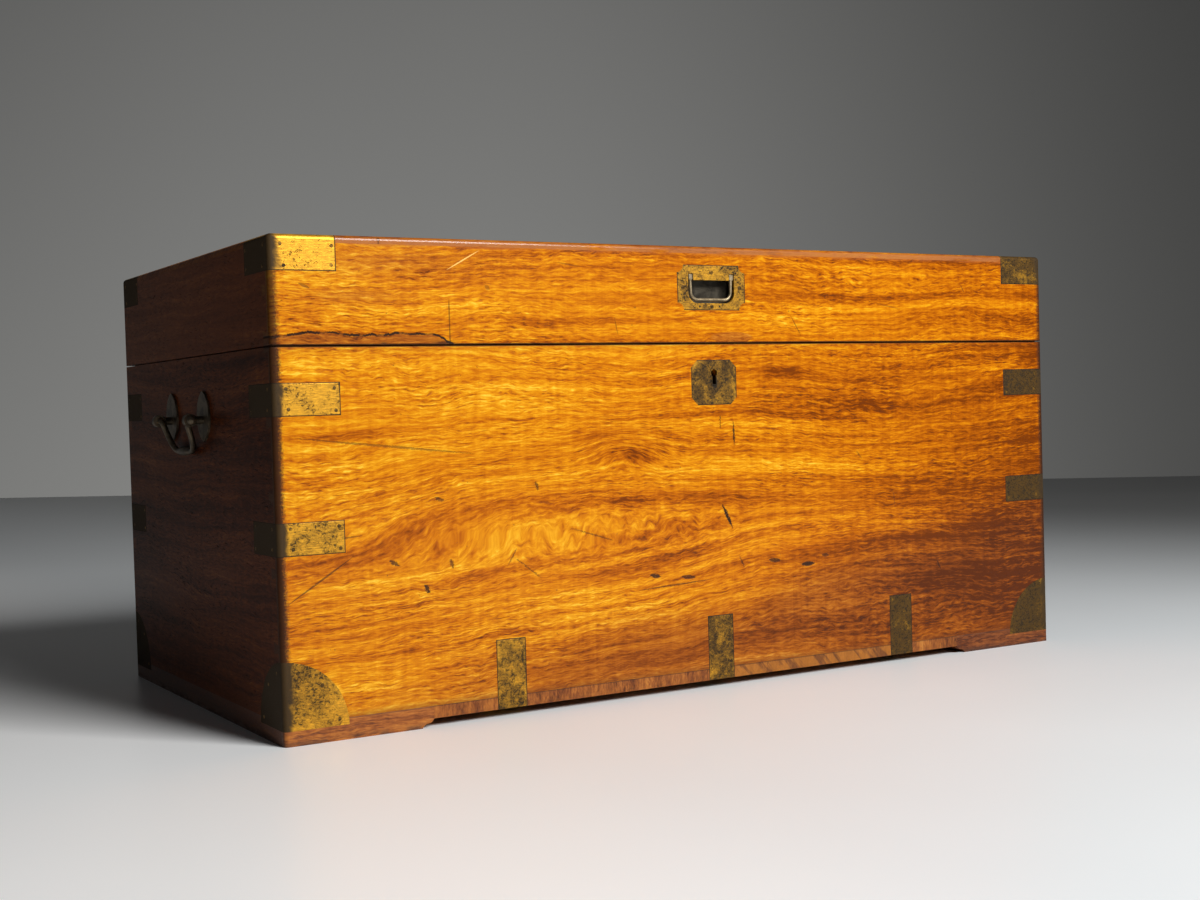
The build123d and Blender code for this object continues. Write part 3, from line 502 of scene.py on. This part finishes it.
# Lower values leave a plate brighter. The front left plates are kept bright partly as painted
# reflection of the lamp and partly as less tarnish.
patinas_and_glare = {"front_left": (0.40, 0.45, 0.54), "front_right": (1.25, 1.05, 0.92),
           "back_left": (0.85, 0.85, 0.9), "back_right": (0.8, 0.8, 0.85)}
for corner in corners:
    for kind, patina_and_glare in zip(["_upper_band", "_lower_band", "_bottom_corner"], patinas_and_glare[corner]):
        plate = corner + kind
        planes = far_edges(plate) if kind != "_bottom_corner" else []
        dress(brass(plate, patina_and_glare, planes, worn_and_shaded_corner=True), plate)
for side, patina_and_glare in (("left", 0.62), ("middle", 0.74), ("right", 0.92)):
    plate = side + "_bottom_strap"
    low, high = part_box(plate)
    dress(brass(plate, patina_and_glare, [("x", low[0]), ("x", high[0]), ("z", high[2])]), plate)

pin_radius = 0.0019
pin_crown = 0.00012
pin_sunk = 0.0006


def skin(grids):
    """Quads over alike grids of points, each grid closed round its columns."""
    count, rows, columns = grids.shape[:3]
    grid, i, j = np.meshgrid(np.arange(count), np.arange(rows - 1), np.arange(columns),
                             indexing="ij")
    near = (grid * rows + i) * columns
    far = near + columns
    ahead = (j + 1) % columns
    return np.stack([near + j, near + ahead, far + ahead, far + j], axis=-1).reshape(-1, 4)


def make(name, grids, material, body, slot, *replaced):
    """A piece from grids of points, its doubled points merged and its faces turned outwards."""
    mesh = bpy.data.meshes.new(name)
    mesh.from_pydata(grids.reshape(-1, 3).tolist(), [], skin(grids).tolist())
    shell = bmesh.new()
    shell.from_mesh(mesh)
    bmesh.ops.remove_doubles(shell, verts=shell.verts, dist=1e-6)
    bmesh.ops.recalc_face_normals(shell, faces=shell.faces)
    shell.to_mesh(mesh)
    shell.free()
    mesh.polygons.foreach_set("use_smooth", np.ones(len(mesh.polygons), bool))
    mesh.set_sharp_from_angle(angle=radians(40.0))
    mesh.materials.append(material)
    piece = bpy.data.objects.new(name, mesh)
    bpy.context.scene.collection.objects.link(piece)
    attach(piece, body)
    if replaced:
        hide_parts(*replaced)


def pins(name, places, normals, body, material):
    """Filed pin heads: low domes that fall with the square of the distance from the middle.

    Every head is one grid of rings and spokes, laid out on all the places at once.
    """
    rings = np.array([0.0, 0.35, 0.7, 0.92, 1.0, 1.0, 0.0])
    rise = np.array([1.0, 0.88, 0.5, 0.1, 0.0, 0.0, 0.0]) * pin_crown
    rise[-2:] = -pin_sunk
    spokes = np.linspace(0.0, 2 * np.pi, 16, endpoint=False)
    normals = np.array(normals, float)
    aside = np.cross([0.0, 0.0, 1.0], normals)
    upward = np.cross(normals, aside)
    flat = pin_radius * (np.cos(spokes)[:, None, None] * aside
                         + np.sin(spokes)[:, None, None] * upward)
    grids = (np.array(places)[:, None, None]
             + rings[None, :, None, None] * flat.swapaxes(0, 1)[:, None]
             + rise[None, :, None, None] * normals[:, None, None])
    make(name, grids, material, body, "brass")


def corner_pins(name, spots):
    """Pin places on a corner plate's end face, and on its front face where it has one."""
    low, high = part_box(name)
    x_sign, y_sign = np.sign(low[0] + high[0]), np.sign(low[1] + high[1])
    x, y = max(abs(low[0]), abs(high[0])), max(abs(low[1]), abs(high[1]))
    places, normals = [], []
    for reach, rise in spots:
        level = low[2] + rise if rise > 0 else high[2] + rise
        places.append((x_sign * x, y_sign * (y - reach), level))
        normals.append((x_sign, 0, 0))
        if y_sign < 0:
            places.append((x_sign * (x - reach), -y, level))
            normals.append((0, -1, 0))
    return places, normals


band_spots = [(0.065, 0.005), (0.064, -0.006), (0.016, 0.007), (0.014, -0.006)]
round_spots = [(0.058, 0.007), (0.041, 0.042), (0.016, 0.056)]
pin_brass = brass("pin_brass", 0.80)
places, normals = [], []
for corner in corners:
    for kind, spots in (("_upper_band", band_spots), ("_lower_band", band_spots),
                        ("_bottom_corner", round_spots)):
        more_places, more_normals = corner_pins(corner + kind, spots)
        places += more_places
        normals += more_normals
for side in ("left", "middle", "right"):
    low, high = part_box(side + "_bottom_strap")
    for x in (low[0] + 0.005, high[0] - 0.005):
        places += [(x, low[1], high[2] - 0.006), (x, low[1], low[2] + 0.014)]
        normals += [(0, -1, 0), (0, -1, 0)]
low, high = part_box("escutcheon")
sheet_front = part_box("front_left_upper_band")[0][1]
for x, z in ((low[0] + 0.006, high[2] - 0.012), (high[0] - 0.008, high[2] - 0.010),
             (low[0] + 0.008, low[2] + 0.009), (high[0] - 0.0075, low[2] + 0.009)):
    places.append((x, sheet_front, z))
    normals.append((0, -1, 0))
pins("case_pins", places, normals, "case", pin_brass)

# Hinges, screws and lock
# Cast brass butt hinges with slotted screws, steel pins, and a brass link-plate lock.

hidden_brass = brass("hidden_brass", 0.7)
dress(hidden_brass, "left_hinge_case_leaf", "right_hinge_case_leaf", "left_hinge_lid_leaf",
      "right_hinge_lid_leaf", "lock_plate", "lock_case", "lock_bolt", "link_plate", "link_staples")


def steel():
    """Dull grey steel with faint brushing."""
    finish = Finish("dull_steel")
    brushed = finish.noise(finish.x * 900.0, finish.y * 200.0, finish.z * 200.0, 3.0)
    colour = finish.mix(brushed, rgb(0.30, 0.29, 0.28), rgb(0.46, 0.45, 0.43))
    return finish.surface(colour, 0.35 + brushed * 0.15, brushed, 0.0001, metallic=1.0)


dress(steel(), "hinge_pins", "lock_spring")
low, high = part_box("escutcheon")
# The spot at the keyhole darkens the sheet round it: painted shade in the hole, and dark wear round
# its lip.
dress(brass("escutcheon", 0.76, [("x", low[0]), ("x", high[0]), ("z", low[2]), ("z", high[2])],
            [((0.0005, 0.3475), (0.0042, 0.0095))]), "escutcheon")


def screws(name, places, normals, turns, radius, body, replaced):
    """Slotted screw heads, each a disc of straight rows that run from rim to rim.

    A row at distance p from the slot's line reaches the square root of radius squared less p
    squared. Two doubled rows drop to the slot's floor, and every row wraps round underneath.
    """
    slot_half, slot_deep, under = radius * 0.17, radius * 0.35, radius * 0.6
    side = np.array([1.0, 0.96, 0.85, 0.65, 0.4]) * radius
    across = np.concatenate([-side, [-slot_half] * 2, [slot_half] * 2, side[::-1]])
    level = np.zeros(len(across))
    level[[len(side) + 1, len(side) + 2]] = -slot_deep
    reach = np.sqrt(np.maximum(radius**2 - across**2, 0.0))
    t = np.array([-1.0, -1.0, -0.97, 0.0, 0.97, 1.0, 1.0])
    crown = 0.06 * radius * (1.0 - (across[:, None]**2 + (reach[:, None] * t)**2) / radius**2)
    height = level[:, None] + crown
    height[:, [0, -1]] = -under
    normals = np.array(normals, float)
    upward = np.where(np.abs(normals[:, 2:]) > 0.5, [[1.0, 0.0, 0.0]], [[0.0, 0.0, 1.0]])
    aside = np.cross(normals, upward)
    turns = np.radians(turns)[:, None]
    first = np.cos(turns) * aside + np.sin(turns) * upward
    second = np.cross(normals, first)
    grids = (np.array(places)[:, None, None]
             + across[None, :, None, None] * first[:, None, None]
             + (reach[:, None] * t)[None, :, :, None] * second[:, None, None]
             + height[None, :, :, None] * normals[:, None, None])
    make(name, grids, screw_brass, body, "brass", replaced)


screw_brass = brass("screw_brass", 0.85)
leaf_low, leaf_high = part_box("left_hinge_case_leaf")
case_low, case_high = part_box("hinge_case_screws")
lid_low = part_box("hinge_lid_screws")[0]
head_radius = (case_high[1] - case_low[1]) / 2 * 1.03
head_y = (case_high[1] + case_low[1]) / 2
leaf_middle = (leaf_low[0] + leaf_high[0]) / 2
screw_pitch = leaf_middle - (case_low[0] + head_radius)
leaf_xs = [side * leaf_middle + step * screw_pitch for side in (1, -1) for step in (-1, 0, 1)]
proud = 0.00003
for body, level, facing, spread in (("case", case_high[2], 1, 51.0), ("lid", lid_low[2], -1, 69.0)):
    screws(f"{body}_hinge_screws", [(x, head_y, level + facing * proud) for x in leaf_xs],
           [(0, 0, facing)] * len(leaf_xs), np.arange(len(leaf_xs)) * spread % 180.0,
           head_radius, body, f"hinge_{body}_screws")

# Lid boards
# The lid is made as a shallow box of the same camphor under a single wide top. Its front rail
# has a long crack with a redder slip let in below it, a knife scratch and a worn top edge.

lid_seam_shadow = (0.3930, 0.3918)
lid_edge = (0.4880, 0.4925)
slip_end = (-0.322, -0.326)
top_edge, front_edge = (0.4992, 0.4965), (-0.262, -0.268)
lid_marks = [
    ((-0.130, 0.420), (-0.126, 0.400), 0.0007, 0.5),
    ((-0.490, 0.452), (-0.478, 0.447), 0.0020, 0.5),
    ((-0.287, 0.452), (-0.281, 0.448), 0.0030, 0.4),
    ((0.240, 0.438), (0.280, 0.431), 0.0008, 0.4),
    ((0.380, 0.462), (0.386, 0.452), 0.0010, 0.5),
    ((-0.200, 0.478), (-0.170, 0.474), 0.0010, 0.4)]


def lid_wood():
    """The front rail of the lid: long crack, upright stain, scratches and a scuffed top edge,
    lighter to the left as painted sheen and darker to the right as painted shade.
    """
    finish = Finish("lid_front_camphor")
    x, y, z = finish.x, finish.y, finish.z
    sway = (finish.noise(x * 2.2 + 8.0, z * 5.0, 0.0, 2.0) - 0.5) * 0.04
    ripple = (finish.noise(x * 12.0 + 8.0, z * 26.0, 0.0, 2.0) - 0.5) * 0.009
    tone, pores, height = grain(finish, x, z + sway + ripple + 2.0, y)
    cloud = finish.noise(x * 5.0 + 3.0, z * 12.0, 1.0, 3.0, 0.55)
    right = (x + (cloud - 0.5) * 0.4).step(0.0, 0.6)
    shades = (hill(x, z, (-0.36, 0.465), (0.07, 0.014)) * 0.28
              + hill(x, z, (-0.475, 0.430), (0.035, 0.006)) * 0.3
              + hill(x, z, (-0.38, 0.437), (0.06, 0.006)) * 0.22)
    # Darker to the right: painted shade, partly the wood's own tone; the lift towards the left is
    # painted sheen.
    tone = tone - shades * 0.6 - right * 0.28 - 0.05 + x.step(-0.1, -0.4) * 0.20
    dull = hill(x, z, (-0.40, 0.474), (0.10, 0.014)) + hill(x, z, (-0.43, 0.440), (0.05, 0.007))
    colour = finish.mix((dull * 0.45).least(0.6), finish.ramp(tone, amber_tones),
                        finish.ramp(tone + 0.12, russet_tones))
    jag = (finish.noise(x * 42.0, 0.0, 0.0, 5.0, 0.75) - 0.5) * 0.012
    bow = (hill(x, z, (-0.468, 0.41), (0.035, 1.0)) * 0.0045
           + hill(x, z, (-0.375, 0.41), (0.030, 1.0)) * 0.0035)
    crack_z = 0.3995 + bow + jag - (x + 0.345).step(0.0, 0.022) * 0.008
    broken = finish.noise(x * 70.0, 5.0, 0.0, 2.0).step(0.38, 0.50)
    wide = finish.noise(x * 34.0, 9.0, 0.0, 3.0, 0.7) * 0.0030
    crack = (abs(z - crack_z) / wide).step(1.0, 0.4) * x.step(*slip_end) * (broken * 0.5 + 0.5)
    below = (crack_z - z).step(0.0, 0.0008) * x.step(*slip_end)
    colour = finish.mix(below * 0.85, colour, finish.ramp(tone, russet_tones))
    chip = (hill(x, z, (-0.336, 0.3925), (0.012, 0.0022))
            + hill(x, z, (-0.402, 0.3925), (0.005, 0.0016)))
    joint = abs(x + 0.3285 + jag * 0.4).step(0.0012, 0.0003) * z.step(0.440, 0.432)
    blot = hill(x, z, (0.026, 0.3975), (0.036, 0.0075)).step(0.45, 0.6)
    colour = finish.mix(blot * 0.8, colour, finish.ramp(tone + 0.2, russet_tones))
    scratch = stroke(x, z, (-0.331, 0.467), (-0.291, 0.489), 0.0009, 0.8)
    colour = finish.mix(scratch, colour, rgb(0.95, 0.60, 0.16))
    marks = (stroke(x, z, (0.111, 0.423), (0.126, 0.399), 0.0008, 0.6) + crack + chip * 0.8
             + joint * 0.6)
    for start, end, width, depth in lid_marks:
        marks = stroke(x, z, start, end, width, depth) + marks
    specks = finish.noise(x * 180.0, z * 240.0, 9.0, 2.0, 0.6).step(0.70, 0.76) * 0.5
    # Painted shadow: the lid's lower edge, where it closes on the case, is darkened as the gap's
    # shadow line.
    seam = z.step(*lid_seam_shadow) * 0.9
    marks = marks.most(specks).most(seam).least(1.0)
    rubbed = finish.noise(x * 16.0, z * 120.0, 0.0, 3.0, 0.6).step(0.35, 0.6) * z.step(*lid_edge)
    colour = finish.mix(rubbed * 0.8, colour, rgb(0.36, 0.10, 0.022))
    worn_and_shaded = worn_and_shaded_ends(finish, cloud)[1]
    # The upright edges go near black: wear and dirt, and painted shade on the rounded corners.
    colour = finish.mix(worn_and_shaded * 0.85, colour, grime_and_shade_black)
    colour = finish.mix(marks.most(pores * 0.3), colour, grime_and_shade_black)
    return polish(finish, colour, tone, pores, height - marks * 1.5, marks, 0.16)


def top_wood():
    """The top board: polished above, its edge rubbed to a pinkish brown."""
    finish = Finish("top_camphor")
    x, y, z = finish.x, finish.y, finish.z
    sway = (finish.noise(x * 2.0, y * 4.0, 0.0, 2.0) - 0.5) * 0.07
    ripple = (finish.noise(x * 11.0, y * 24.0, 0.0, 2.0) - 0.5) * 0.009
    tone, pores, height = grain(finish, x, y + z + sway + ripple, z)
    cloud = finish.noise(x * 4.0, y * 6.0, 2.0, 3.0)
    colour = finish.mix(cloud.step(0.4, 0.65) * 0.6 + 0.2, finish.ramp(tone - 0.04, amber_tones),
                        finish.ramp(tone, russet_tones))
    patchy = finish.noise(x * 22.0, y * 22.0, z * 100.0, 3.0).step(0.28, 0.5)
    rubbed = z.step(*top_edge) * y.step(*front_edge) * patchy
    colour = finish.mix(rubbed * 0.75, colour, rgb(0.38, 0.14, 0.045))
    colour = end_grain_and_shade(finish, colour)
    rings = finish.noise(x * 3.0, y * 3.0, 7.0, 2.0).step(0.62, 0.66) * 0.15
    marks = finish.noise(x * 90.0, y * 130.0, 1.0, 2.0, 0.6).step(0.70, 0.77) * 0.5
    colour = finish.mix(marks.most(pores * 0.3).most(rings), colour, grime_and_shade_black)
    return polish(finish, colour, tone, pores, height - marks, marks, 0.5)


dress(lid_wood(), "lid_front_rail")
# The lid's end rails take the tones of painted shade.
dress(plain_wood("lid_end_camphor", True, 5.2, painted_shade_tones), "lid_left_rail", "lid_right_rail")
dress(plain_wood("lid_back_camphor", False, 6.4, russet_tones), "lid_back_rail")
dress(top_wood(), "lid_top")
lid_spots = [(0.065, 0.006), (0.066, -0.011), (0.016, 0.005), (0.013, -0.010)]
places, normals = [], []
# The lid's front left corner is kept bright partly as painted reflection of the lamp and partly as
# less tarnish.
for corner, patina_and_glare in zip(corners, (0.12, 0.85, 0.8, 0.8)):
    plate = corner + "_lid_corner"
    edges = far_edges(plate, "xy") + [("z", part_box(plate)[0][2])]
    dress(brass(plate, patina_and_glare, edges, worn_and_shaded_corner=True), plate)
    more_places, more_normals = corner_pins(plate, lid_spots)
    places += more_places
    normals += more_normals
pins("lid_pins", places, normals, "lid", pin_brass)

# Lid handle
# A flush plate of cast brass held by four slotted screws, with a dark pan behind it and a drop
# bail of bronze, square at the lugs and round at the grip.

low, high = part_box("lid_handle_plate")
plate_pits = [(-0.0165, 0.4322), (0.0106, 0.4324), (0.034, 0.4700)]
dress(brass("lid_handle_plate", 0.62,
            [("x", low[0]), ("x", high[0]), ("z", low[2]), ("z", high[2])],
            [(place, (0.0014, 0.0014)) for place in plate_pits]), "lid_handle_plate")
head_low, head_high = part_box("lid_handle_screws")
plate_middle = (low[2] + high[2]) / 2
head_radius = 0.00265
side_x = head_high[0] - head_radius
heads_at = [(-side_x, plate_middle), (side_x, plate_middle), (0.0, head_high[2] - head_radius),
            (0.0, head_low[2] + head_radius)]
screws("handle_plate_screws", [(x, low[1] - proud, z) for x, z in heads_at],
       [(0, -1, 0)] * 4, [78.0, 64.0, 50.0, 12.0], head_radius, "lid", "lid_handle_screws")


def bronze(name, bright, dull):
    """Patinated bronze, brighter in cloudy patches."""
    finish = Finish(name)
    x, y, z = finish.x, finish.y, finish.z
    cloud = finish.noise(x * 70.0, y * 70.0, z * 70.0, 4.0, 0.6, 0.4)
    spots = finish.noise(x * 400.0, y * 400.0, z * 400.0, 3.0, 0.6)
    colour = finish.mix(cloud.step(0.35, 0.65), dull, bright)
    return finish.surface(colour, 0.36 + spots * 0.2, spots, 0.0002, metallic=0.85)


def rounded(corner_points, radii):
    """A path through points in one plane, with an arc at each inner point.

    An arc of radius r that turns by an angle a starts r tan(a/2) before its corner. From there
    each point lies r sin(t) ahead and r (1 - cos(t)) to the inside, as t goes from 0 to a.
    """
    stretches = [corner_points[:1]]
    bends = zip(corner_points, corner_points[1:], corner_points[2:], radii)
    for before, corner, after, radius in bends:
        ahead, onward = corner - before, after - corner
        ahead, onward = ahead / np.linalg.norm(ahead), onward / np.linalg.norm(onward)
        turn = np.arccos(ahead @ onward)
        inside = onward - (onward @ ahead) * ahead
        inside /= np.linalg.norm(inside)
        t = np.linspace(0.0, turn, 14)[:, None]
        start = corner - ahead * radius * np.tan(turn / 2)
        stretches.append(start + radius * (np.sin(t) * ahead + (1.0 - np.cos(t)) * inside))
    return np.concatenate(stretches + [corner_points[-1:]])


def spaced(path, pitch):
    """The same path at an even pitch, with each point's distance from its start."""
    far = np.concatenate([[0.0], np.cumsum(np.linalg.norm(np.diff(path, axis=0), axis=1))])
    even = np.linspace(0.0, far[-1], round(far[-1] / pitch) + 1)
    return np.stack([np.interp(even, far, path[:, k]) for k in range(3)], axis=1), even


bar_sides = 28


def bar(path, plane, wide, deep, power):
    """One grid of points for a bar, its section an ellipse of a higher power where it is squarer.

    Wide is the half width in the path's plane and deep the half depth across it. A section
    point at angle t lies at wide cos(t)^(2/power) and deep sin(t)^(2/power).
    """
    run = np.gradient(path, axis=0)
    run /= np.linalg.norm(run, axis=1)[:, None]
    aside = np.cross(plane, run)
    t = np.linspace(0.0, 2 * np.pi, bar_sides, endpoint=False)
    first = np.sign(np.cos(t)) * np.abs(np.cos(t))**(2.0 / power[:, None]) * wide[:, None]
    second = np.sign(np.sin(t)) * np.abs(np.sin(t))**(2.0 / power[:, None]) * deep[:, None]
    rows = path[:, None] + first[..., None] * aside[:, None] + second[..., None] * np.array(plane)
    return np.concatenate([np.repeat(path[:1, None], bar_sides, axis=1), rows,
                           np.repeat(path[-1:, None], bar_sides, axis=1)])[None]


bail_low, bail_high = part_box("lid_handle_bail")
bail_round = (bail_high[1] - bail_low[1]) / 2
bail_axis_y = (bail_high[1] + bail_low[1]) / 2
lug_half = 0.00275
lug_x = 0.028
lug_long = 0.0064
lug_fade = 0.0008
bail_bend = 0.009
bail_pitch = 0.0006
swell_high, swell_long = 0.00012, 0.018
knee_x = lug_x - bail_round / 2
bail_foot_z = bail_low[2] + bail_round
turns = np.array([(-lug_x, bail_axis_y, bail_high[2]), (-knee_x, bail_axis_y, bail_foot_z),
                  (knee_x, bail_axis_y, bail_foot_z), (lug_x, bail_axis_y, bail_high[2])])
path, far = spaced(rounded(turns, [bail_bend, bail_bend]), bail_pitch)
from_end = np.minimum(far, far[-1] - far)
lug = np.clip((lug_long - from_end) / lug_fade, 0.0, 1.0)
swell = swell_high * np.exp(-((far - far[-1] / 2) / swell_long)**2)
grids = bar(path, (0.0, 1.0, 0.0), bail_round * 0.98 + lug * (lug_half - bail_round) + swell,
            np.full(len(path), bail_round * 0.99), 2.0 + lug * 8.0)
bail_bronze = bronze("bail_bronze", rgb(0.42, 0.33, 0.20), rgb(0.17, 0.13, 0.075))
make("drop_bail", grids, bail_bronze, "lid_handle", "brass", "lid_handle_bail")
dress(bronze("pan_bronze", rgb(0.075, 0.065, 0.048), rgb(0.030, 0.025, 0.018)), "lid_handle_pan")

# End handles
# Heavy dark swan-necked bails with ball ends and a swelled grip, in the eyes of pointed oval
# plates. They hang with the grip close to the board.

end_bronze = bronze("end_bronze", rgb(0.17, 0.13, 0.085), rgb(0.06, 0.046, 0.030))
dress(end_bronze, "left_handle_plates", "right_handle_plates")
eye_x, handle_y, handle_z = 0.537, 0.007, 0.321
bar_round, ball_round, grip_round, grip_long = 0.0033, 0.0052, 0.0050, 0.044
shoulder, foot_reach, drop, rest_gap, board_face = 0.048, 0.040, 0.036, 0.0005, 0.520
bar_end = 0.0649
eye_bend, grip_bend, swan_pitch = 0.005, 0.020, 0.0007
lean = asin((eye_x - board_face - grip_round - rest_gap) / drop)
turns = np.array([(0.0, -bar_end - 2 * ball_round, 0.0), (0.0, -shoulder, 0.0),
                  (0.0, -foot_reach, -drop), (0.0, foot_reach, -drop), (0.0, shoulder, 0.0),
                  (0.0, bar_end + 2 * ball_round, 0.0)])
path, far = spaced(rounded(turns, [eye_bend, grip_bend, grip_bend, eye_bend]), swan_pitch)
from_end = np.minimum(far, far[-1] - far)
from_middle = np.abs(far - far[-1] / 2) / (grip_long / 2)
ball = np.sqrt(np.maximum(ball_round**2 - (from_end - ball_round)**2, 0.0))
girth = np.where(from_end < ball_round, ball, np.maximum(ball, bar_round))
girth += (grip_round - bar_round) * np.clip(1.0 - from_middle**2, 0.0, 1.0)
for side, sign in (("left", -1), ("right", 1)):
    grids = bar(path, (1.0, 0.0, 0.0), girth, girth, np.full(len(path), 2.0))
    x = grids[..., 0] * cos(lean) - grids[..., 2] * sin(lean)
    z = grids[..., 0] * sin(lean) + grids[..., 2] * cos(lean)
    grids = np.stack([sign * (eye_x - x), grids[..., 1] + handle_y, z + handle_z], axis=-1)
    make(f"{side}_swan_bail", grids, end_bronze, f"{side}_handle", "dark_bronze",
         f"{side}_handle_bail")

# Room, light and camera
# A pale floor and a glowing grey wall, both painted darkest to the right as light falloff, with
# one large soft lamp in front to the right and a faint even fill.


def sheet(name, corners_at):
    """A flat rectangle through four corners."""
    mesh = bpy.data.meshes.new(name)
    mesh.from_pydata(corners_at, [], [(0, 1, 2, 3)])
    panel = bpy.data.objects.new(name, mesh)
    bpy.context.scene.collection.objects.link(panel)
    return panel


camera_place = Vector((-1.0350, -1.7522, 0.3229))
yaw, pitch, roll = radians(30.8027), radians(-1.5681), radians(-1.7074)
focal_pixels, picture_width, film_width = 1586.79, 1200.0, 36.0
ahead = Vector((sin(yaw) * cos(pitch), cos(yaw) * cos(pitch), sin(pitch)))
aside = Vector((cos(yaw), -sin(yaw), 0.0))
above = aside.cross(ahead)
right_axis = aside * cos(roll) + above * sin(roll)
up_axis = above * cos(roll) - aside * sin(roll)
camera_data = bpy.data.cameras.new("camera")
camera_data.sensor_width = film_width
camera_data.lens = film_width * focal_pixels / picture_width
camera = bpy.data.objects.new("camera", camera_data)
turn = Matrix((right_axis, up_axis, -ahead)).transposed().to_4x4()
camera.matrix_world = Matrix.Translation(camera_place) @ turn
bpy.context.scene.collection.objects.link(camera)
bpy.context.scene.camera = camera

wall_near, wall_far = Vector((0.263, 5.581, 0.0)), Vector((3.856, 2.182, 0.0))
wall_way = (wall_far - wall_near).normalized()
wall_past, wall_high = 6.0, 7.0
wall_left, wall_right = wall_near - wall_way * wall_past, wall_far + wall_way * wall_past
wall = sheet("wall", [(wall_left.x, wall_left.y, 0.0), (wall_right.x, wall_right.y, 0.0),
                      (wall_right.x, wall_right.y, wall_high),
                      (wall_left.x, wall_left.y, wall_high)])
floor_half = 14.0
floor = sheet("floor", [(-floor_half, -floor_half, 0.0), (floor_half, -floor_half, 0.0),
                        (floor_half, floor_half, 0.0), (-floor_half, floor_half, 0.0)])


def floor_paint():
    """Pale floor paint with a soft sheen, painted brighter to the left and grey far off to the
    right as painted light falloff.
    """
    finish = Finish("floor_paint")
    cloud = finish.noise(finish.x * 1.5, finish.y * 1.5, 0.0, 4.0)
    colour = finish.mix(cloud, rgb(0.80, 0.84, 0.86), rgb(0.86, 0.90, 0.92))
    # Painted light: brighter to the left.
    colour = finish.mix(finish.x.step(-0.25, -0.70), colour, rgb(0.97, 0.98, 0.98))
    # Painted light falloff: grey far off to the right and behind.
    away = (finish.x + finish.y * 0.2).step(0.40, 2.8)
    colour = finish.mix(away, colour, rgb(0.24, 0.245, 0.245))
    return finish.surface(colour, 0.34 + cloud * 0.1, cloud, 0.0005, **{"Specular IOR Level": 0.3})


def wall_paint():
    """Grey wall that glows evenly, darker above and to both sides, most to the right."""
    finish = Finish("wall_paint")
    level = 0.178 - finish.x.step(1.8, 4.3) * 0.138 - finish.x.step(1.5, -0.3) * 0.04
    level = level * (1.30 - finish.z * 0.25).most(0.6)
    colour = finish.mix(level, rgb(0.0, 0.0, 0.0), rgb(1.0, 1.0, 0.965))
    rays = finish.add("LightPath").outputs
    seen = Wire(finish, rays["Is Camera Ray"]) + Wire(finish, rays["Is Glossy Ray"])
    shown = finish.mix(seen.least(1.0), rgb(0.0, 0.0, 0.0), colour)
    uneven = finish.noise(finish.x, finish.y, finish.z)
    return finish.surface(rgb(0.02, 0.02, 0.02), 0.9, uneven, 0.0001,
                          **{"Emission Color": shown, "Emission Strength": 1.0})


floor.data.materials.append(floor_paint())
wall.data.materials.append(wall_paint())

lamp_place, lamp_target = Vector((0.80, -3.10, 2.35)), Vector((-0.9, -0.40, 0.0))
lamp_data = bpy.data.lights.new("key", "AREA")
lamp_data.size = 1.6
lamp_data.energy = 180.0
lamp_data.color = (1.0, 0.99, 0.98)
lamp = bpy.data.objects.new("key", lamp_data)
lamp.location = lamp_place
lamp.rotation_mode = "QUATERNION"
lamp.rotation_quaternion = (lamp_target - lamp_place).to_track_quat("-Z", "Y")
lamp.visible_camera = False
bpy.context.scene.collection.objects.link(lamp)

world = bpy.data.worlds.new("room")
world.use_nodes = True
fill = world.node_tree.nodes["Background"].inputs
fill["Color"].default_value = rgb(0.030, 0.030, 0.031)
fill["Strength"].default_value = 1.0
bpy.context.scene.world = world
bpy.context.scene.view_settings.view_transform = "Standard"
